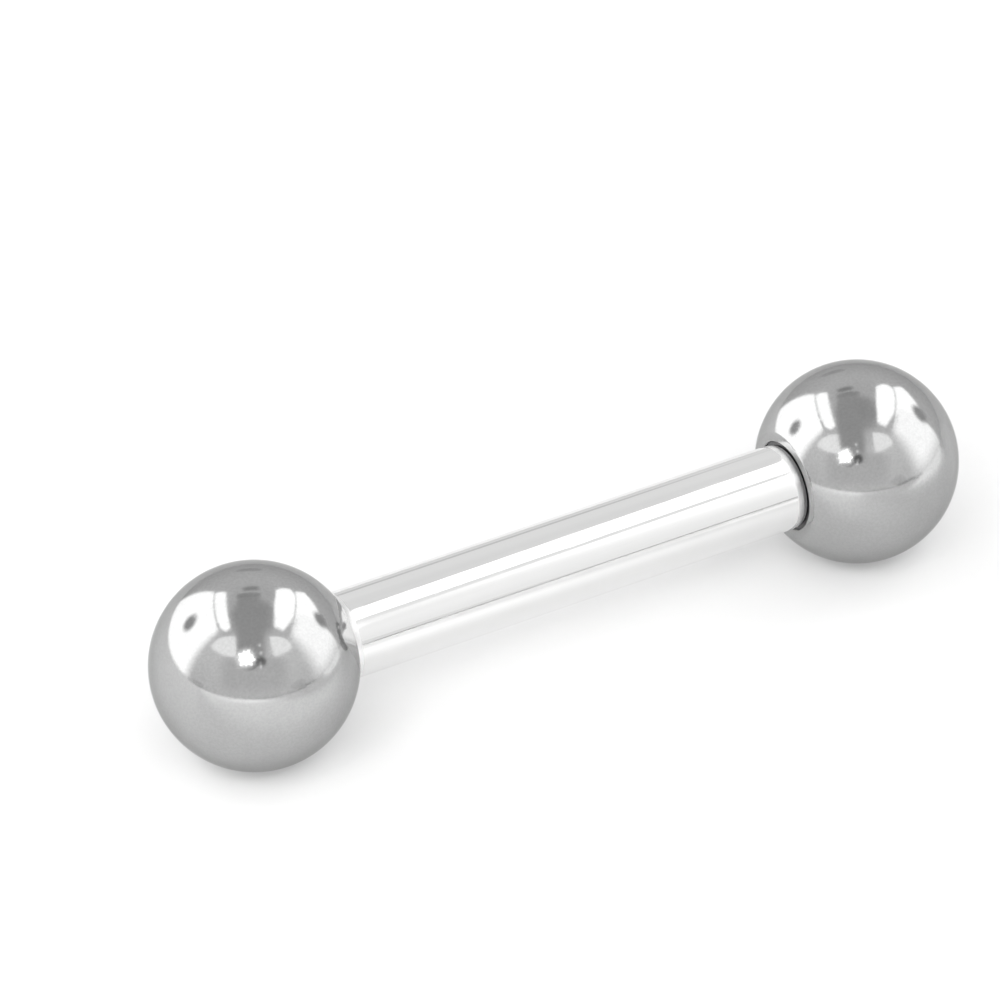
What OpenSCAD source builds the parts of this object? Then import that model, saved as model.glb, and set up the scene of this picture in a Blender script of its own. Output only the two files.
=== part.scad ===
// Straight barbell for a nipple piercing: a round polished bar with a round ball screwed onto each end.
// Sizes are in millimetres. The bar lies along X and both balls rest on the plane z = 0.
// The origin is on that plane, under the middle of the bar.

/* [Bar] */
// Diameter of the bar, which is what passes through the piercing
bar_d = 2.05; // [1.9:0.05:2.4]
// Length of the bar from shoulder to shoulder
bar_length = 12.2; // [6:0.1:20]
// Radius of the gentle curve that draws in each shoulder
shoulder_round = 0.85; // [0.6:0.05:0.9]
// Angle in degrees through which that curve turns
shoulder_turn = 18; // [12:1:24]
// Radius of the tight corner between that curve and the end face
corner_round = 0.05; // [0.04:0.01:0.1]

/* [Screw studs] */
// Diameter over the crests of the thread
stud_d = 1.56; // [1.2:0.02:1.6]
// Length of each stud from the shoulder to its tip
stud_length = 2; // [1.6:0.1:2.2]
// Diameter of the plain neck between the shoulder and the thread
neck_d = 1.2; // [1:0.02:1.2]
// Length of the plain neck
neck_length = 0.3; // [0.2:0.05:0.4]
// Bevel at the tip of each stud
tip_bevel = 0.16; // [0.1:0.02:0.24]

/* [Balls] */
// Diameter of each ball
ball_d = 4.8; // [4:0.1:6]
// Width of the flat ring round the seat, where the ball faces the bar
flat_width = 0.225; // [0.2:0.005:0.3]
// How far the shoulder sinks below the flat ring
seat_depth = 0.03; // [0.02:0.01:0.06]
// Bevel around the mouth of the seat
mouth_bevel = 0.02; // [0.01:0.005:0.03]

/* [Clearances] */
// Gap between the bar's wall and the wall of the seat
seat_gap = 0.05; // [0.03:0.005:0.08]
// Gap between the shoulder and the floor of the seat
floor_gap = 0.02; // [0.01:0.01:0.05]
// Gap between the crests of the thread and the tapped bore
thread_gap = 0.04; // [0.02:0.01:0.08]
// Room left below the tip of the stud
tip_gap = 0.2; // [0.1:0.05:0.3]

/* [Hidden] */

$fn = 96;

// Half of a drill's point angle, which shapes the bottom of a blind bore
drill_half_angle = 59;
// How far a cutting shape runs past the surface that it cuts
past = 1;

bar_r = bar_d / 2;
stud_r = stud_d / 2;
neck_r = neck_d / 2;
ball_r = ball_d / 2;
bore_r = stud_r + thread_gap;
seat_r = bar_r + seat_gap;
flat_r = seat_r + flat_width;
bore_depth = floor_gap + stud_length + tip_gap;
drill_point = bore_r / tan(drill_half_angle);

// Length of each shoulder along the bar, and the radius that its curves leave to the end face
shoulder_reach = shoulder_round * sin(shoulder_turn) + corner_round * (1 - sin(shoulder_turn));
face_r = bar_r - shoulder_round * (1 - cos(shoulder_turn)) - corner_round * cos(shoulder_turn);

// Distances from the centre of a ball towards the middle of the bar
flat_at = sqrt(ball_r * ball_r - flat_r * flat_r);
shoulder_at = flat_at - seat_depth;
floor_at = shoulder_at - floor_gap;

// Places of the two balls, and the height of the axis that all three pieces share
ball_x = bar_length / 2 + shoulder_at;
axis_z = ball_r;

// Puts a shape that was drawn along Z onto the barbell's own axis, running along +X from x
module on_axis(x) {
    translate([x, 0, axis_z])
        rotate([0, 90, 0])
            children();
}

// Cuts away what lies outside a shoulder's gentle curve, past the end of the straight wall
module outside_curve() {
    translate([bar_r - shoulder_round, bar_length / 2 - shoulder_reach])
        difference() {
            square(shoulder_round + past);
            circle(r = shoulder_round);
        }
}

// Cuts away what lies outside the tight corner, from the point where it meets the gentle curve
module outside_corner() {
    translate([face_r, bar_length / 2 - corner_round])
        difference() {
            translate([0, corner_round * sin(shoulder_turn)])
                square(past);
            circle(r = corner_round);
        }
}

// Half outline of the bar between its two end faces
module shank_outline() {
    difference() {
        translate([0, -bar_length / 2])
            square([bar_r, bar_length]);
        for (end = [0, 1])
            mirror([0, end]) {
                outside_curve();
                outside_corner();
            }
    }
}

// Half outline of one stud: a thin neck, the threaded length and a bevelled tip
module stud_outline() {
    step = stud_r - neck_r;
    polygon([
        [0, -shoulder_reach],
        [neck_r, -shoulder_reach],
        [neck_r, neck_length],
        [stud_r, neck_length + step],
        [stud_r, stud_length - tip_bevel],
        [stud_r - tip_bevel, stud_length],
        [0, stud_length],
    ]);
}

module bar() {
    color([0.88, 0.89, 0.9])
        union() {
            on_axis(0)
                rotate_extrude()
                    shank_outline();
            for (end = [0, 1])
                mirror([end, 0, 0])
                    on_axis(bar_length / 2)
                        rotate_extrude()
                            stud_outline();
        }
}

// One ball with its centre at x = 0, and its flat ring, seat and tapped bore on the -X side
module ball() {
    difference() {
        on_axis(0)
            sphere(r = ball_r);
        on_axis(-ball_r - past)
            cylinder(r = ball_r, h = ball_r + past - flat_at);
        on_axis(-ball_r - past)
            cylinder(r = seat_r, h = ball_r + past - floor_at);
        on_axis(-flat_at - mouth_bevel)
            cylinder(r1 = seat_r + 2 * mouth_bevel, r2 = seat_r, h = 2 * mouth_bevel);
        on_axis(-floor_at - past)
            cylinder(r = bore_r, h = past + bore_depth);
        on_axis(bore_depth - floor_at)
            cylinder(r1 = bore_r, r2 = 0, h = drill_point);
    }
}

module ball_left() {
    color([0.5, 0.5, 0.52])
        translate([-ball_x, 0, 0])
            mirror([1, 0, 0])
                ball();
}

module ball_right() {
    color([0.5, 0.5, 0.52])
        translate([ball_x, 0, 0])
            ball();
}

bar();
ball_left();
ball_right();
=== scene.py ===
import math

import bpy
from mathutils import Matrix, Vector


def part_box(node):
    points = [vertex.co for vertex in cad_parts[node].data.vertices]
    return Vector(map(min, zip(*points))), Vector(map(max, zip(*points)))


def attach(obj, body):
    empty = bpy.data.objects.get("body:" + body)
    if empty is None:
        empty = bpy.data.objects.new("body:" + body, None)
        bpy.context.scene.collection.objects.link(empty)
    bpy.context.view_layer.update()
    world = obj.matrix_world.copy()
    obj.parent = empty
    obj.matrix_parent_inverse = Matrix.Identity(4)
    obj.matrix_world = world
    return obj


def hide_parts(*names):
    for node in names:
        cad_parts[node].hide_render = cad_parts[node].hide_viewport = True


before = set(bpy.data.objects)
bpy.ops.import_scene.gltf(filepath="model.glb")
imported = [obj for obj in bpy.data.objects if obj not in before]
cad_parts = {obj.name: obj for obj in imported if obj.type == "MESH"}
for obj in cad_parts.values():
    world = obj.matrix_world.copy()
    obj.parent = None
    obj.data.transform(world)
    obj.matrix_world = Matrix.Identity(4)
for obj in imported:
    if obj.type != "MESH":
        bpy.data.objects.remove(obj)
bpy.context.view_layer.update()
bpy.ops.object.select_all(action="DESELECT")

MM = 0.001

# Driving sizes of the barbell, as in its solids
BALL_R = 2.4 * MM
BAR_R = 1.025 * MM
BAR_HALF = 6.1 * MM
SHOULDER_ROUND = 0.85 * MM
SHOULDER_TURN = math.radians(18)
CORNER_ROUND = 0.05 * MM
NECK_R = 0.6 * MM
NECK_LENGTH = 0.3 * MM
STUD_R = 0.78 * MM
TIP_BEVEL = 0.16 * MM
BORE_R = 0.82 * MM
SEAT_R = 1.075 * MM
SEAT_DEPTH = 0.03 * MM
FLAT_R = 1.3 * MM
MOUTH_BEVEL = 0.02 * MM
FLOOR_GAP = 0.02 * MM
TIP_GAP = 0.2 * MM
DRILL_HALF_ANGLE = math.radians(59)

# The soft edge of the flat ring, which the solids leave sharp
FLAT_EDGE_ROUND = 0.08 * MM

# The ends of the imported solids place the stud's tip and the balls along the bar
STUD_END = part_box("bar")[1].x
BALL_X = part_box("ball_right")[1].x - BALL_R
AXIS_Z = BALL_R
FLAT_AT = math.sqrt(BALL_R ** 2 - FLAT_R ** 2)
FLOOR_AT = FLAT_AT - SEAT_DEPTH - FLOOR_GAP

# A shoulder curves in gently and then turns a tight corner into the end face of the bar
SHOULDER_REACH = (
    SHOULDER_ROUND * math.sin(SHOULDER_TURN) + CORNER_ROUND * (1 - math.sin(SHOULDER_TURN))
)
FACE_R = (
    BAR_R - SHOULDER_ROUND * (1 - math.cos(SHOULDER_TURN)) - CORNER_ROUND * math.cos(SHOULDER_TURN)
)

# The screw thread: its pitch, how deep it is cut into the stud, and how far out of the bore
PITCH = 0.35 * MM
STUD_THREAD_DEPTH = 0.16 * MM
BORE_THREAD_DEPTH = 0.07 * MM
# Where its flank meets the root and how wide the flank is, as shares of half a pitch, and over
# which share of a pitch the thread starts and ends
THREAD_FOOT = 0.8
THREAD_FLANK = 0.65
THREAD_START = 0.6

# How finely the round pieces are made, how near two vertices are one and two places are alike,
# and up to which angle two faces are shaded as one
SIDES = 256
RINGS = 128
THREAD_ROWS = 71
SHOULDER_STEPS = 8
CORNER_STEPS = 8
EDGE_STEPS = 6
MERGE = 1e-7
ALIKE = 0.002 * MM
SMOOTH_BELOW = math.radians(35)


# Selecting and shaping in edit mode


def edit(obj):
    """Opens one piece alone in edit mode, with nothing on it selected."""
    bpy.ops.object.select_all(action="DESELECT")
    bpy.context.view_layer.objects.active = obj
    obj.select_set(True)
    bpy.ops.object.mode_set(mode="EDIT")
    bpy.ops.mesh.select_all(action="DESELECT")


def leave_edit():
    bpy.ops.object.mode_set(mode="OBJECT")


def pick(obj, kind, test):
    """Selects the faces whose middle passes the test, or the edges whose two ends do."""
    bpy.ops.mesh.select_mode(type=kind)
    bpy.ops.mesh.select_all(action="DESELECT")
    bpy.ops.object.mode_set(mode="OBJECT")
    mesh = obj.data
    at = [v.co for v in mesh.vertices]
    if kind == "EDGE":
        for e in mesh.edges:
            a, b = e.vertices
            e.select = test(at[a], at[b])
    else:
        for f in mesh.polygons:
            f.select = test(f.center)
    bpy.ops.object.mode_set(mode="EDIT")


def from_axis(co):
    return math.hypot(co.y, co.z - AXIS_Z)


def near(a, b):
    return abs(a - b) < ALIKE


def draw_out(step, factor=1.0, x=0.0):
    """Extrudes what is selected along the bar, then scales it about the axis in the plane at x."""
    bpy.ops.mesh.extrude_region_move(TRANSFORM_OT_translate={"value": (step, 0, 0)})
    if factor != 1.0:
        bpy.ops.transform.resize(value=(1, factor, factor), center_override=(x, 0, AXIS_Z))


def finish_piece(obj):
    """Closes the seams, turns the faces outwards and smooths all but the real edges."""
    bpy.ops.mesh.select_all(action="SELECT")
    bpy.ops.mesh.remove_doubles(threshold=MERGE)
    bpy.ops.mesh.normals_make_consistent(inside=False)
    leave_edit()
    bpy.ops.object.shade_smooth_by_angle(angle=SMOOTH_BELOW)


# The screw thread, which is alike on the studs and in the bores


def rows_along(obj, side, radius):
    """Cuts the long edges of a plain round wall into rows that are fine enough for the thread."""
    def runs_along(a, b):
        long_enough = abs(a.x - b.x) > TIP_BEVEL + MERGE
        on_wall = near(from_axis(a), radius) and near(from_axis(b), radius)
        return side * a.x > BAR_HALF and long_enough and on_wall

    pick(obj, "EDGE", runs_along)
    bpy.ops.mesh.subdivide(number_cuts=THREAD_ROWS)


def thread_ridge(x, turn):
    """How high the thread stands at x and at a turn round the axis, from 0 in its root to 1 on
    its crest."""
    off_crest = abs((x / PITCH - turn / math.tau) % 1.0 - 0.5) * 2
    return min(1.0, max(0.0, (THREAD_FOOT - off_crest) / THREAD_FLANK))


def cut_thread(obj, side, radius, depth, start, end):
    """Sinks the thread into a round wall between two distances from the middle of the bar. A
    negative depth sinks it outwards, as in a bore."""
    for v in obj.data.vertices:
        x = side * v.co.x
        r = from_axis(v.co)
        if not (start < x < end and near(r, radius)):
            continue
        turn = math.atan2(v.co.z - AXIS_Z, side * v.co.y)
        fade = min(1.0, min(x - start, end - x) / (THREAD_START * PITCH))
        to = radius - depth * (1 - thread_ridge(x, turn)) * fade
        v.co.y *= to / r
        v.co.z = AXIS_Z + (v.co.z - AXIS_Z) * to / r


# The bar


def shoulder_outline():
    """Places along a shoulder from the straight wall on: how far past it, and at which radius."""
    points = []
    for k in range(SHOULDER_STEPS):
        turn = SHOULDER_TURN * (k + 1) / SHOULDER_STEPS
        past = SHOULDER_ROUND * math.sin(turn)
        points.append((past, BAR_R - SHOULDER_ROUND * (1 - math.cos(turn))))
    for k in range(CORNER_STEPS):
        turn = SHOULDER_TURN + (math.pi / 2 - SHOULDER_TURN) * (k + 1) / CORNER_STEPS
        past = SHOULDER_REACH - CORNER_ROUND * (1 - math.sin(turn))
        points.append((past, FACE_R + CORNER_ROUND * math.cos(turn)))
    return points


def make_bar():
    """The bar with its rounded shoulders, and on each end a neck and a threaded stud."""
    straight = BAR_HALF - SHOULDER_REACH
    support = 0.1 * MM
    bpy.ops.mesh.primitive_cylinder_add(
        vertices=SIDES, radius=BAR_R, depth=2 * (straight - support),
        location=(0, 0, AXIS_Z), rotation=(0, math.pi / 2, 0),
    )
    bar = bpy.context.object
    bar.name = "polished_bar"
    bpy.ops.object.transform_apply(location=True, rotation=True, scale=True)
    edit(bar)
    stud_from = BAR_HALF + NECK_LENGTH + STUD_R - NECK_R
    for side in (-1, 1):
        pick(bar, "FACE", lambda c: near(c.x, side * (straight - support)))
        # A short straight ring keeps the long wall's shading even up to the rounding
        draw_out(side * support)
        past, r = 0.0, BAR_R
        for next_past, next_r in shoulder_outline():
            draw_out(side * (next_past - past), next_r / r, side * (straight + next_past))
            past, r = next_past, next_r
        bpy.ops.mesh.inset(thickness=FACE_R - NECK_R)
        draw_out(side * NECK_LENGTH)
        draw_out(side * (STUD_R - NECK_R), STUD_R / NECK_R, side * stud_from)
        draw_out(side * (STUD_END - TIP_BEVEL - stud_from))
        draw_out(side * TIP_BEVEL, (STUD_R - TIP_BEVEL) / STUD_R, side * STUD_END)
        rows_along(bar, side, STUD_R)
    finish_piece(bar)
    for side in (-1, 1):
        cut_thread(bar, side, STUD_R, STUD_THREAD_DEPTH, stud_from, STUD_END - TIP_BEVEL)
    return bar


# The balls


def make_ball(name, side):
    """A ball on its end of the bar. Towards the middle it has a flat ring with a soft edge, and in
    that a shallow bevelled seat and a tapped blind bore."""
    centre = side * BALL_X
    bpy.ops.mesh.primitive_uv_sphere_add(
        segments=SIDES, ring_count=RINGS, radius=BALL_R,
        location=(centre, 0, AXIS_Z), rotation=(0, math.pi / 2, 0),
    )
    ball = bpy.context.object
    ball.name = name
    bpy.ops.object.transform_apply(location=True, rotation=True, scale=True)
    edit(ball)
    bpy.ops.mesh.select_all(action="SELECT")
    # The soft edge is an arc that touches both the sphere and the flat
    arc_at = FLAT_AT - FLAT_EDGE_ROUND
    arc_r = math.sqrt((BALL_R - FLAT_EDGE_ROUND) ** 2 - arc_at ** 2)
    lean = math.atan2(arc_r, arc_at)
    rim_x = centre - side * BALL_R * math.cos(lean)
    bpy.ops.mesh.bisect(
        plane_co=(rim_x, 0, 0), plane_no=(side, 0, 0), clear_inner=True, threshold=MERGE
    )
    # The open rim is drawn inwards: soft edge, flat, bevel, wall and floor of the seat, and bore
    pick(ball, "EDGE", lambda a, b: near(a.x, rim_x) and near(b.x, rim_x))
    x, r = rim_x, BALL_R * math.sin(lean)
    for k in range(EDGE_STEPS):
        turn = lean * (1 - (k + 1) / EDGE_STEPS)
        next_x = centre - side * (arc_at + FLAT_EDGE_ROUND * math.cos(turn))
        next_r = arc_r + FLAT_EDGE_ROUND * math.sin(turn)
        draw_out(next_x - x, next_r / r, next_x)
        x, r = next_x, next_r
    mouth_r = SEAT_R + MOUTH_BEVEL
    bevel_x = x + side * MOUTH_BEVEL
    draw_out(0, mouth_r / r, x)
    draw_out(bevel_x - x, SEAT_R / mouth_r, bevel_x)
    floor_x = centre - side * FLOOR_AT
    bore_length = FLOOR_GAP + STUD_END - BAR_HALF + TIP_GAP
    drill_point = BORE_R / math.tan(DRILL_HALF_ANGLE)
    draw_out(floor_x - bevel_x)
    draw_out(0, BORE_R / SEAT_R, floor_x)
    draw_out(side * bore_length)
    draw_out(side * drill_point)
    bpy.ops.mesh.merge(type="CENTER")
    rows_along(ball, side, BORE_R)
    finish_piece(ball)
    bore_from = abs(floor_x)
    cut_thread(ball, side, BORE_R, -BORE_THREAD_DEPTH, bore_from, bore_from + bore_length - TIP_GAP)
    return ball


# Finishes


# Tones of each finish, from its darkest to its lightest
BAR_TONES = (0.94, 0.94, 0.937), (0.985, 0.985, 0.98)
BALL_TONES = (0.492, 0.493, 0.493), (0.553, 0.555, 0.554)
STUD_TONES = (0.48, 0.48, 0.475), (0.72, 0.72, 0.715)
# The seat and bore are toned far darker than the ball: painted shade in the recess round the bar's
# end
BORE_TONES_WITH_PAINTED_SHADE = (0.10, 0.10, 0.102), (0.26, 0.26, 0.265)
TURNING_LINES_PER_METRE = 22000


class Finish:
    """A material and short ways to add its nodes. Patterns read Object coordinates, in metres."""

    def __init__(self, name):
        self.material = bpy.data.materials.new(name)
        self.material.use_nodes = True
        self.tree = self.material.node_tree
        self.metal = self.tree.nodes["Principled BSDF"]
        self.place = self.add("ShaderNodeTexCoord").outputs["Object"]

    def add(self, kind, **settings):
        made = self.tree.nodes.new(kind)
        for key, value in settings.items():
            setattr(made, key, value)
        return made

    def link(self, start, end):
        self.tree.links.new(start, end)

    def scaled(self, scale, turn=(0, 0, 0)):
        """Object coordinates turned and stretched, so that a pattern lies along one direction."""
        mapping = self.add("ShaderNodeMapping")
        mapping.inputs["Rotation"].default_value = turn
        mapping.inputs["Scale"].default_value = scale
        self.link(self.place, mapping.inputs["Vector"])
        return mapping.outputs[0]

    def noise(self, scale, detail, rough, place=None):
        made = self.add("ShaderNodeTexNoise")
        made.inputs["Scale"].default_value = scale
        made.inputs["Detail"].default_value = detail
        made.inputs["Roughness"].default_value = rough
        self.link(place or self.place, made.inputs["Vector"])
        return made.outputs[0]

    def span(self, value, low, high, to_low, to_high):
        """Eases a value between two levels onto two others."""
        made = self.add("ShaderNodeMapRange", interpolation_type="SMOOTHSTEP")
        made.inputs["From Min"].default_value = low
        made.inputs["From Max"].default_value = high
        made.inputs["To Min"].default_value = to_low
        made.inputs["To Max"].default_value = to_high
        self.link(value, made.inputs["Value"])
        return made.outputs[0]

    def maths(self, operation, a, b):
        made = self.add("ShaderNodeMath", operation=operation)
        for socket, value in zip(made.inputs, (a, b)):
            if isinstance(value, (int, float)):
                socket.default_value = value
            else:
                self.link(value, socket)
        return made.outputs[0]

    def tones(self, value, dark, light):
        """Colours a value from a dark tone to a light one."""
        made = self.add("ShaderNodeValToRGB")
        made.color_ramp.elements[0].color = (*dark, 1)
        made.color_ramp.elements[1].color = (*light, 1)
        self.link(value, made.inputs[0])
        self.link(made.outputs[0], self.metal.inputs["Base Color"])

    def relief(self, heights):
        """Stacks bumps, each a height and its depth in metres, and gives them to the metal."""
        under = None
        for height, depth in heights:
            made = self.add("ShaderNodeBump")
            made.inputs["Strength"].default_value = 1
            made.inputs["Distance"].default_value = depth
            self.link(height, made.inputs["Height"])
            if under:
                self.link(under, made.inputs["Normal"])
            under = made.outputs[0]
        self.link(under, self.metal.inputs["Normal"])

    def metallic(self, edge):
        """Bare metal whose edges keep this much of their shine."""
        self.metal.inputs["Metallic"].default_value = 1.0
        self.metal.inputs["Specular Tint"].default_value = (edge, edge, edge, 1)

    def scratches(self, turn, above):
        """Fine hairlines in one direction, from 0 to 1. The higher the level, the fewer show."""
        lines = self.noise(1.0, 3.0, 0.6, self.scaled((900, 26000, 26000), turn))
        return self.span(lines, above, above + 0.16, 0.0, 1.0)

    def along_bar(self, start, end):
        """0 up to a distance from the middle of the bar and 1 past another, towards either end."""
        split = self.add("ShaderNodeSeparateXYZ")
        self.link(self.place, split.inputs[0])
        return self.span(self.maths("ABSOLUTE", split.outputs["X"], 0.0), start, end, 0.0, 1.0)

    def near_shoulder(self, inner, outer):
        """1 at the mouths of the balls and 0 beyond, by distance from the middle of a mouth."""
        fold = self.add("ShaderNodeVectorMath", operation="ABSOLUTE")
        self.link(self.place, fold.inputs[0])
        reach = self.add("ShaderNodeVectorMath", operation="DISTANCE")
        reach.inputs[1].default_value = (BAR_HALF, 0, AXIS_Z)
        self.link(fold.outputs[0], reach.inputs[0])
        return self.span(reach.outputs["Value"], inner, outer, 1.0, 0.0)


def polished_steel():
    """The bright bar: a mirror polish with faint drawing lines along it and satin shoulders."""
    f = Finish("bar_polished_steel")
    f.metallic(1.0)
    drawn = f.noise(1.0, 3.0, 0.55, f.scaled((260, 15000, 15000)))
    haze = f.noise(1400, 3.0, 0.5)
    worn = f.near_shoulder(1.03 * MM, 1.30 * MM)
    nicks = f.scratches((0.0, 0.0, 1.25), 0.60)
    shade = f.maths("ADD", f.maths("MULTIPLY", drawn, 0.6), f.maths("MULTIPLY", haze, 0.4))
    f.tones(shade, *BAR_TONES)
    soft = f.maths("ADD", f.span(haze, 0.35, 0.7, 0.045, 0.085), f.maths("MULTIPLY", nicks, 0.08))
    soft = f.maths("ADD", soft, f.maths("MULTIPLY", worn, 0.05))
    satin = f.along_bar(BAR_HALF - SHOULDER_REACH, BAR_HALF - SHOULDER_REACH + 0.05 * MM)
    f.link(f.maths("ADD", soft, f.maths("MULTIPLY", satin, 0.26)), f.metal.inputs["Roughness"])
    f.relief([(drawn, 0.00010 * MM), (nicks, 0.00012 * MM)])
    return f.material


def grey_polish():
    """The darker balls: a greyer polish with a fine grain, hairlines and a hazy, worn mouth."""
    f = Finish("ball_grey_polish")
    f.metallic(0.66)
    grain = f.noise(16000, 3.0, 0.6)
    mottle = f.noise(3200, 3.0, 0.55)
    haze = f.noise(520, 2.0, 0.5)
    hairs = f.scratches((0.4, 0.9, 0.3), 0.58)
    hairs = f.maths("MAXIMUM", hairs, f.scratches((1.9, 0.2, 1.1), 0.60))
    worn = f.near_shoulder(1.12 * MM, 1.45 * MM)
    shade = f.maths("ADD", f.span(grain, 0.3, 0.7, 0.0, 0.66), f.span(mottle, 0.3, 0.7, 0.0, 0.17))
    shade = f.maths("ADD", shade, f.span(haze, 0.3, 0.7, 0.0, 0.17))
    f.tones(f.maths("SUBTRACT", shade, f.maths("MULTIPLY", worn, 0.08)), *BALL_TONES)
    soft = f.maths("ADD", f.span(mottle, 0.3, 0.7, 0.075, 0.115), f.maths("MULTIPLY", hairs, 0.06))
    f.link(f.maths("ADD", soft, f.maths("MULTIPLY", worn, 0.06)), f.metal.inputs["Roughness"])
    f.relief([(grain, 0.00022 * MM), (mottle, 0.0006 * MM), (hairs, 0.00015 * MM)])
    return f.material


def machined(name, tones):
    """Metal as the lathe left it, with fine turning rings and dark polishing paste in them."""
    f = Finish(name)
    f.metallic(0.7)
    rings = f.noise(1.0, 3.0, 0.6, f.scaled((TURNING_LINES_PER_METRE, 500, 500)))
    paste = f.noise(7000, 4.0, 0.6)
    shade = f.maths("ADD", f.maths("MULTIPLY", rings, 0.5), f.maths("MULTIPLY", paste, 0.5))
    # Its tones set how dark it is; the bore's dark tones are painted shade in the seat
    f.tones(shade, *tones)
    f.link(f.span(rings, 0.3, 0.7, 0.22, 0.42), f.metal.inputs["Roughness"])
    f.relief([(rings, 0.0008 * MM)])
    return f.material


def dress(obj, outside, inside, is_inside, body, node):
    """Gives a piece its polish and its inner faces the lathe's finish, which in the balls is toned
    dark as painted shade, and ties it to the frame.
    """
    obj.data.materials.clear()
    obj.data.materials.append(outside)
    obj.data.materials.append(inside)
    for f in obj.data.polygons:
        f.material_index = 1 if is_inside(f.center) else 0
    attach(obj, body)
    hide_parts(node)


# How far below a surface the faces behind it begin
SKIN = 0.01 * MM


def on_stud(c):
    """True of the end face, neck and stud of the bar, past the rounding of its shoulder."""
    return abs(c.x) > BAR_HALF - SKIN and from_axis(c) < FACE_R


def in_ball(c):
    """True of the seat and bore of a ball, inside its outer skin."""
    under_skin = math.hypot(abs(c.x) - BALL_X, from_axis(c)) < BALL_R - SKIN
    in_seat = from_axis(c) < SEAT_R + 0.4 * MOUTH_BEVEL
    return under_skin and in_seat and abs(c.x) < BALL_X + BORE_R


# Camera


VIEW_AZIMUTH = math.radians(-30.62)
VIEW_ELEVATION = math.radians(34.34)
VIEW_DISTANCE = 163.9 * MM
VIEW_LENS = 259.4
VIEW_AIM = Vector((-1.649, 0, 4.688)) * MM
VIEW_FROM, VIEW_TO = 10 * MM, 10
AHEAD = Vector((math.sin(VIEW_AZIMUTH), -math.cos(VIEW_AZIMUTH), 0))
TO_RIGHT = Vector((math.cos(VIEW_AZIMUTH), math.sin(VIEW_AZIMUTH), 0))
UP = Vector((0, 0, 1))


def towards(around, up):
    """Direction from the barbell: degrees round from the camera, to its right, and degrees up."""
    a, e = math.radians(around), math.radians(up)
    return math.cos(e) * (math.cos(a) * AHEAD + math.sin(a) * TO_RIGHT) + math.sin(e) * UP


def place_camera():
    """Stands the camera where the photograph was taken from."""
    data = bpy.data.cameras.new("camera")
    camera = bpy.data.objects.new("camera", data)
    bpy.context.scene.collection.objects.link(camera)
    back = towards(0, math.degrees(VIEW_ELEVATION))
    camera.location = VIEW_AIM + back * VIEW_DISTANCE
    camera.rotation_euler = (-back).to_track_quat("-Z", "Y").to_euler()
    data.lens = VIEW_LENS
    data.clip_start, data.clip_end = VIEW_FROM, VIEW_TO
    bpy.context.scene.camera = camera


# Studio lights and fittings. The metal mirrors them, and the camera itself doesn't see them


# Directions that the flat lights face the barbell from, as towards() takes them
LEFT = (-85, 0)
RIGHT = (88, 0)
FRONT_LEFT = (-50, 0)
FRONT_RIGHT = (45, 0)
HIGH = (0, 60)
FLASH = (-15, 40.5)

# Distances of the lights from the barbell
WALL = 150 * MM
LAMP = 125 * MM
BURST = 78 * MM

# How strong the main lights are. A strength of 1 shows white in a perfect mirror
SOFTBOX = 2.0
SOFTBOX_INNER = 1.8
SOFTBOX_BACK = 1.98
PANE = 1.42
TABLE_SHINE = 1.35
TABLE_LIGHT = 9
FLASH_LIGHT = 6


def shine(name, strength, outline):
    """A light that is even inside its convex outline and fades over each edge's softness. The
    outline has a row for each corner: its place across and up, and the softness of the edge that
    starts there. A pair instead is the radius and the softness of a round lamp."""
    f = Finish(name)
    f.tree.nodes.remove(f.metal)
    if isinstance(outline, tuple):
        radius, softness = outline
        reach = f.add("ShaderNodeVectorMath", operation="LENGTH")
        f.link(f.place, reach.inputs[0])
        half = softness / 2
        share = f.span(reach.outputs["Value"], radius - half, radius + half, 1.0, 0.0)
    else:
        share = None
        for k, (across, up, softness) in enumerate(outline):
            corner, following = Vector((across, up)), Vector(outline[(k + 1) % len(outline)][:2])
            along = (following - corner).normalized()
            inwards = Vector((-along.y, along.x)) / softness
            depth = f.add("ShaderNodeVectorMath", operation="DOT_PRODUCT")
            depth.inputs[1].default_value = (inwards.x, inwards.y, 0)
            f.link(f.place, depth.inputs[0])
            edge = inwards.dot(corner)
            ease = f.span(depth.outputs["Value"], edge - 0.5, edge + 0.5, 0.0, 1.0)
            share = ease if share is None else f.maths("MULTIPLY", share, ease)
    clear = f.add("ShaderNodeBsdfTransparent")
    light = f.add("ShaderNodeEmission")
    light.inputs["Strength"].default_value = strength
    mix = f.add("ShaderNodeMixShader")
    f.link(share, mix.inputs[0])
    f.link(clear.outputs[0], mix.inputs[1])
    f.link(light.outputs[0], mix.inputs[2])
    f.link(mix.outputs[0], f.tree.nodes["Material Output"].inputs["Surface"])
    return f.material


def hang(name, mesh, place):
    """Hangs a light or fitting in the studio, unseen by the camera and without a shadow."""
    obj = bpy.data.objects.new(name, mesh)
    bpy.context.scene.collection.objects.link(obj)
    obj.matrix_world = place
    obj.visible_camera = False
    obj.visible_shadow = False
    return obj


def card(name, place, strength, outline):
    """A flat light at a place, with its outline given anticlockwise in the place's own X and Y."""
    if isinstance(outline, tuple):
        radius, softness = outline
        right = top = radius + softness / 2
        left = low = -right
    else:
        xs, ys, softness = zip(*outline)
        spread = max(softness) / 2
        left, right = min(xs) - spread, max(xs) + spread
        low, top = min(ys) - spread, max(ys) + spread
    corners = [(left, low, 0), (right, low, 0), (right, top, 0), (left, top, 0)]
    mesh = bpy.data.meshes.new(name)
    mesh.from_pydata(corners, [], [(0, 1, 2, 3)])
    mesh.materials.append(shine(name, strength, outline))
    return hang(name, mesh, place)


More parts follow.
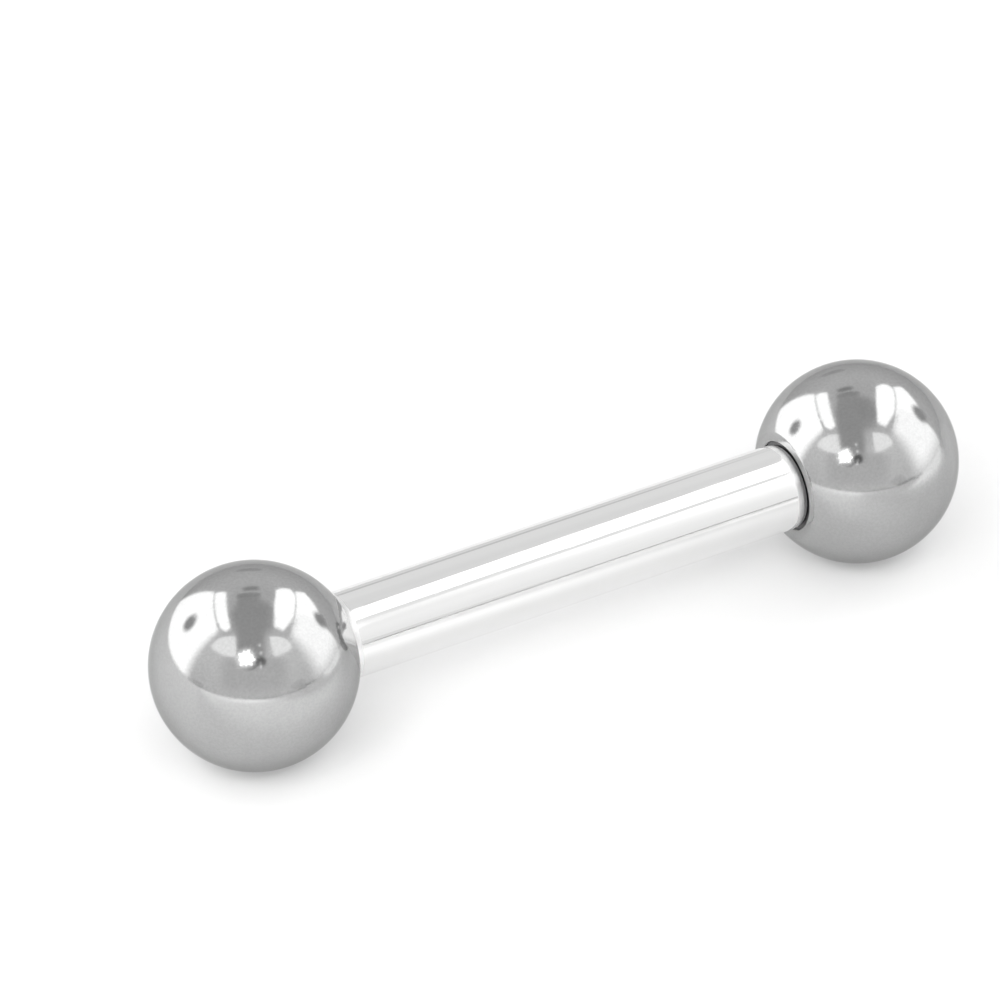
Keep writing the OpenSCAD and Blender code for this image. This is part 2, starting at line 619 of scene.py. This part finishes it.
def facing_barbell(facing, distance):
    """The place of a flat light that faces the barbell from a direction. Its own X and Y are the
    tangents of the angles at which the barbell sees a point, across and up."""
    way = towards(*facing)
    across = UP.cross(way).normalized()
    turn = Matrix((across, way.cross(across), way)).transposed().to_4x4()
    return Matrix.Translation(AXIS_Z * UP + way * distance) @ turn @ Matrix.Scale(distance, 4)


def panel(name, facing, distance, strength, outline):
    return card(name, facing_barbell(facing, distance), strength, outline)


def box(left, right, low, top, softness):
    """An upright rectangle, with the softness of its low, right, top and left edge."""
    corners = (left, low), (right, low), (right, top), (left, top)
    return [(x, y, soft) for (x, y), soft in zip(corners, softness)]


def light_softboxes():
    """A softbox on each side, with a strip over it past a narrow seam. The right one fades towards
    the table and the camera, and reaches far back above the lamp."""
    panel("left_softbox", LEFT, WALL, SOFTBOX, box(-1.62, 0.2, 0.0, 1.32, (0.08, 0.26, 0.03, 0.24)))
    panel("left_strip", LEFT, WALL, SOFTBOX, [
        (-1.5, 1.37, 0.03), (-0.25, 1.37, 0.03), (0.16, 1.48, 0.1), (0.37, 1.72, 0.14),
        (0.37, 2.2, 0.2), (-1.9, 2.25, 0.3), (-1.8, 1.75, 0.2),
    ])
    panel("right_softbox", RIGHT, WALL, SOFTBOX_INNER, [
        (-0.3, 0.02, 0.5), (0.48, 0.02, 0.12), (0.52, 0.4, 0.1), (0.52, 1.29, 0.03),
        (-0.3, 1.29, 0.5),
    ])
    panel("right_softbox_back", RIGHT, WALL * 1.002, SOFTBOX_BACK, [
        (0.3, 0.34, 0.1), (1.66, 0.86, 0.14), (1.72, 1.29, 0.03), (0.3, 1.29, 0.1),
    ])
    panel("right_strip", RIGHT, WALL, SOFTBOX, [
        (-0.32, 1.7, 0.16), (0.3, 1.36, 0.06), (1.5, 1.34, 0.1), (2.0, 1.54, 0.2),
        (2.46, 2.18, 0.3), (2.68, 3.1, 0.3), (0.92, 3.2, 0.4), (-0.42, 2.66, 0.2),
    ])


def shine_table():
    """The table shines beside the right softbox. The outline is in millimetres, to the camera's
    right and away from it."""
    lying = Matrix((TO_RIGHT, -AHEAD, UP)).transposed().to_4x4()
    outline = (24, -10, 10), (190, -40, 20), (190, 70, 10), (24, 8, 20)
    card("table_shine", Matrix.Translation(0.02 * MM * UP) @ lying, TABLE_SHINE,
         [(x * MM, y * MM, soft * MM) for x, y, soft in outline])


def light_panes():
    """Two pale panes of the tent beside the camera."""
    panel("left_pane", FRONT_LEFT, LAMP, PANE, [
        (-0.25, 0.76, 0.08), (0.05, 0.76, 0.08), (0.44, 0.92, 0.06), (0.4, 1.2, 0.06),
        (0.18, 1.84, 0.14), (-0.02, 1.62, 0.1), (-0.22, 1.28, 0.1), (-0.29, 1.0, 0.1),
    ])
    panel("right_pane", FRONT_RIGHT, LAMP, PANE, [
        (-0.31, 0.92, 0.08), (-0.03, 0.85, 0.08), (0.2, 0.87, 0.08), (0.29, 1.0, 0.1),
        (0.28, 1.28, 0.1), (0.13, 1.64, 0.1), (-0.14, 1.98, 0.06), (-0.26, 1.5, 0.06),
    ])


def hang_fittings():
    """What shows dark: the lamps' backs, the gap between the panes, the shade round the camera, the
    stands along the table's edge and a painted shadow where the table meets the wall on the right."""
    lamp_back = (0.12, 0.1)
    soft_lamp = (0.06, 0.08, 0.06, 0.08)
    panel("left_lamp", (-108.5, 25.5), LAMP, 0.46, lamp_back)
    panel("right_lamp", (119, 23.5), LAMP, 0.46, lamp_back)
    panel("rear_lamp_high", (-173, 50), LAMP, 0.36, box(-0.07, 0.13, 0.01, 0.11, soft_lamp))
    panel("rear_lamp_low", (-177, 16), LAMP, 0.5, box(-0.02, 0.16, -0.03, 0.06, soft_lamp))
    panel("gap_between_panes", HIGH, LAMP, 0.48, [
        (-0.31, -0.36, 0.4), (0.19, -0.36, 0.16), (0.04, 1.75, 0.2), (-0.5, 1.78, 0.14),
    ])
    panel("gap_top", HIGH, LAMP * 0.99, 0.42, box(-0.52, 0.12, 1.45, 1.75, (0.2, 0.1, 0.2, 0.1)))
    panel("camera_side", (0, 30), WALL * 1.05, 0.74,
          box(-0.7, 0.7, -0.4, 0.25, (0.35, 0.4, 0.2, 0.4)))
    panel("stand", (46, 0), WALL, 0.7, [
        (-0.15, 0.1, 0.06), (0.0, -0.01, 0.03), (0.17, -0.01, 0.08), (0.13, 0.13, 0.08),
        (0.04, 0.17, 0.08),
    ])
    # A dark strip along the horizon on the right: painted shadow at the foot of the tent's wall
    panel("wall_foot_painted_shadow", (46, 0), WALL * 0.99, 0.42,
          box(0.02, 0.34, -0.014, 0.02, (0.012, 0.1, 0.012, 0.1)))
    panel("left_stand", (-60, 0), WALL, 0.66,
          box(-0.1, 0.1, -0.014, 0.05, (0.012, 0.08, 0.05, 0.08)))


def light_table():
    """The broad light from the camera's side, whose soft shadows fall behind the barbell. The metal
    doesn't mirror it."""
    front = panel("front_light", (-8, 42), LAMP, TABLE_LIGHT, (0.45, 0.3))
    front.visible_glossy = False


def light_flash():
    """The bare lamp beside the camera, a burst of short rays, with the dark lens next to it and a
    few glints."""
    rays = 0.17, 0.08, 0.13, 0.07, 0.18, 0.08, 0.13, 0.08, 0.17
    rays += 0.07, 0.14, 0.08, 0.18, 0.08, 0.13, 0.07, 0.17, 0.08
    points = []
    for k, r in enumerate(rays):
        turn = math.tau * k / len(rays)
        points.append((r * math.cos(turn), r * math.sin(turn), 0))
    mesh = bpy.data.meshes.new("burst")
    mesh.from_pydata(points, [], [tuple(range(len(points)))])
    f = Finish("burst")
    light = f.add("ShaderNodeEmission")
    light.inputs["Strength"].default_value = FLASH_LIGHT
    f.link(light.outputs[0], f.tree.nodes["Material Output"].inputs["Surface"])
    mesh.materials.append(f.material)
    hang("burst", mesh, facing_barbell(FLASH, BURST))
    panel("burst_glow", FLASH, BURST * 1.02, 1.3, (0.16, 0.16))
    panel("lens", (5, 38), BURST * 1.03, 0.16, (0.09, 0.05))
    panel("lamp_housing", (-11, 39), BURST * 1.08, 0.33, (0.18, 0.05))
    panel("lens_ring", (4, 36), BURST * 1.02, 0.5, (0.035, 0.03))
    panel("lens_glint", (4, 33), BURST * 0.98, 2.4, (0.016, 0.016))
    panel("glint_high", (3, 55), BURST, 1.5, (0.022, 0.022))
    panel("glint_low", (5, 47), BURST, 1.5, (0.022, 0.022))


# The tent's shade by height, from level with the table to overhead, and its share at the back
TENT_SHADES = (0.0, 0.83), (0.6, 0.92), (0.88, 0.82), (0.965, 0.54), (1.0, 0.5)
TENT_BACK = 0.80
PLAIN_WHITE = 1.05


def light_world():
    """The pale tent round the table: brighter towards the camera, darker overhead. The camera
    itself sees plain white past the floor."""
    world = bpy.data.worlds.new("tent")
    bpy.context.scene.world = world
    world.use_nodes = True
    tree = world.node_tree
    tree.nodes.clear()
    place = tree.nodes.new("ShaderNodeTexCoord")
    split = tree.nodes.new("ShaderNodeSeparateXYZ")
    tree.links.new(place.outputs["Generated"], split.inputs[0])
    ramp = tree.nodes.new("ShaderNodeValToRGB")
    ramp.color_ramp.interpolation = "EASE"
    for k, (height, shade) in enumerate(TENT_SHADES):
        stop = ramp.color_ramp.elements[k] if k < 2 else ramp.color_ramp.elements.new(height)
        stop.position = height
        stop.color = (shade, shade, shade, 1)
    tree.links.new(split.outputs["Z"], ramp.inputs[0])
    facing = tree.nodes.new("ShaderNodeVectorMath")
    facing.operation = "DOT_PRODUCT"
    facing.inputs[1].default_value = AHEAD
    tree.links.new(place.outputs["Generated"], facing.inputs[0])
    level = tree.nodes.new("ShaderNodeMapRange")
    level.inputs["From Min"].default_value = -0.8
    level.inputs["From Max"].default_value = 0.5
    level.inputs["To Min"].default_value = TENT_BACK
    level.inputs["To Max"].default_value = 1.0
    tree.links.new(facing.outputs["Value"], level.inputs["Value"])
    tent = tree.nodes.new("ShaderNodeBackground")
    tree.links.new(ramp.outputs[0], tent.inputs["Color"])
    tree.links.new(level.outputs[0], tent.inputs["Strength"])
    plain = tree.nodes.new("ShaderNodeBackground")
    plain.inputs["Color"].default_value = (1, 1, 1, 1)
    plain.inputs["Strength"].default_value = PLAIN_WHITE
    path = tree.nodes.new("ShaderNodeLightPath")
    mix = tree.nodes.new("ShaderNodeMixShader")
    out = tree.nodes.new("ShaderNodeOutputWorld")
    tree.links.new(path.outputs["Is Camera Ray"], mix.inputs[0])
    tree.links.new(tent.outputs[0], mix.inputs[1])
    tree.links.new(plain.outputs[0], mix.inputs[2])
    tree.links.new(mix.outputs[0], out.inputs["Surface"])


# The table: its size, its tones as the metal mirrors it and as the camera sees it, and the glows
# all over it, before the balls and under the bar
TABLE_SIZE = 1.2
TABLE_TONES = (0.5, 0.5, 0.5), (0.72, 0.72, 0.72)
GLOW_ALL_OVER = 0.03
GLOW_BEFORE_BALLS = 0.22
GLOW_UNDER_BAR = 0.14


def lay_floor():
    """A white table. The metal mirrors it darker than the camera sees it, and brighter before the
    balls and under the bar than elsewhere."""
    bpy.ops.mesh.primitive_plane_add(size=TABLE_SIZE, location=(0, 0, 0))
    floor = bpy.context.object
    floor.name = "floor"
    f = Finish("floor_white")
    f.metal.inputs["Roughness"].default_value = 0.9
    f.metal.inputs["Specular IOR Level"].default_value = 0.1
    split = f.add("ShaderNodeSeparateXYZ")
    f.link(f.place, split.inputs[0])
    to_right = f.add("ShaderNodeVectorMath", operation="DOT_PRODUCT")
    to_right.inputs[1].default_value = TO_RIGHT
    f.link(f.place, to_right.inputs[0])
    on_left = f.span(to_right.outputs["Value"], 3 * MM, 14 * MM, 1.0, 0.0)
    before = f.span(split.outputs["Y"], -8 * MM, -1 * MM, GLOW_BEFORE_BALLS, 0.0)
    under = f.span(split.outputs["Y"], -4 * MM, 0, 0.0, GLOW_UNDER_BAR)
    path = f.add("ShaderNodeLightPath")
    mirrored = f.maths("SUBTRACT", 1.0, path.outputs["Is Camera Ray"])
    glow = f.maths("ADD", f.maths("MULTIPLY", before, on_left), under)
    glow = f.maths("MULTIPLY", glow, mirrored)
    f.tones(path.outputs["Is Camera Ray"], *TABLE_TONES)
    f.metal.inputs["Emission Color"].default_value = (1, 1, 1, 1)
    f.link(f.maths("ADD", glow, GLOW_ALL_OVER), f.metal.inputs["Emission Strength"])
    floor.data.materials.append(f.material)


bar = make_bar()
ball_left = make_ball("left_ball", -1)
ball_right = make_ball("right_ball", 1)

steel = polished_steel()
grey = grey_polish()
turned_steel = machined("stud_turned_steel", STUD_TONES)
# The seat and bore finish is toned dark as painted shade in the recess round the bar's end
turned_grey_painted_shade = machined("bore_turned_grey", BORE_TONES_WITH_PAINTED_SHADE)
dress(bar, steel, turned_steel, on_stud, "bar", "bar")
dress(ball_left, grey, turned_grey_painted_shade, in_ball, "left_ball", "ball_left")
dress(ball_right, grey, turned_grey_painted_shade, in_ball, "right_ball", "ball_right")

place_camera()
light_world()
light_softboxes()
shine_table()
light_panes()
hang_fittings()
light_table()
light_flash()
lay_floor()
bpy.context.scene.view_settings.view_transform = "Standard"
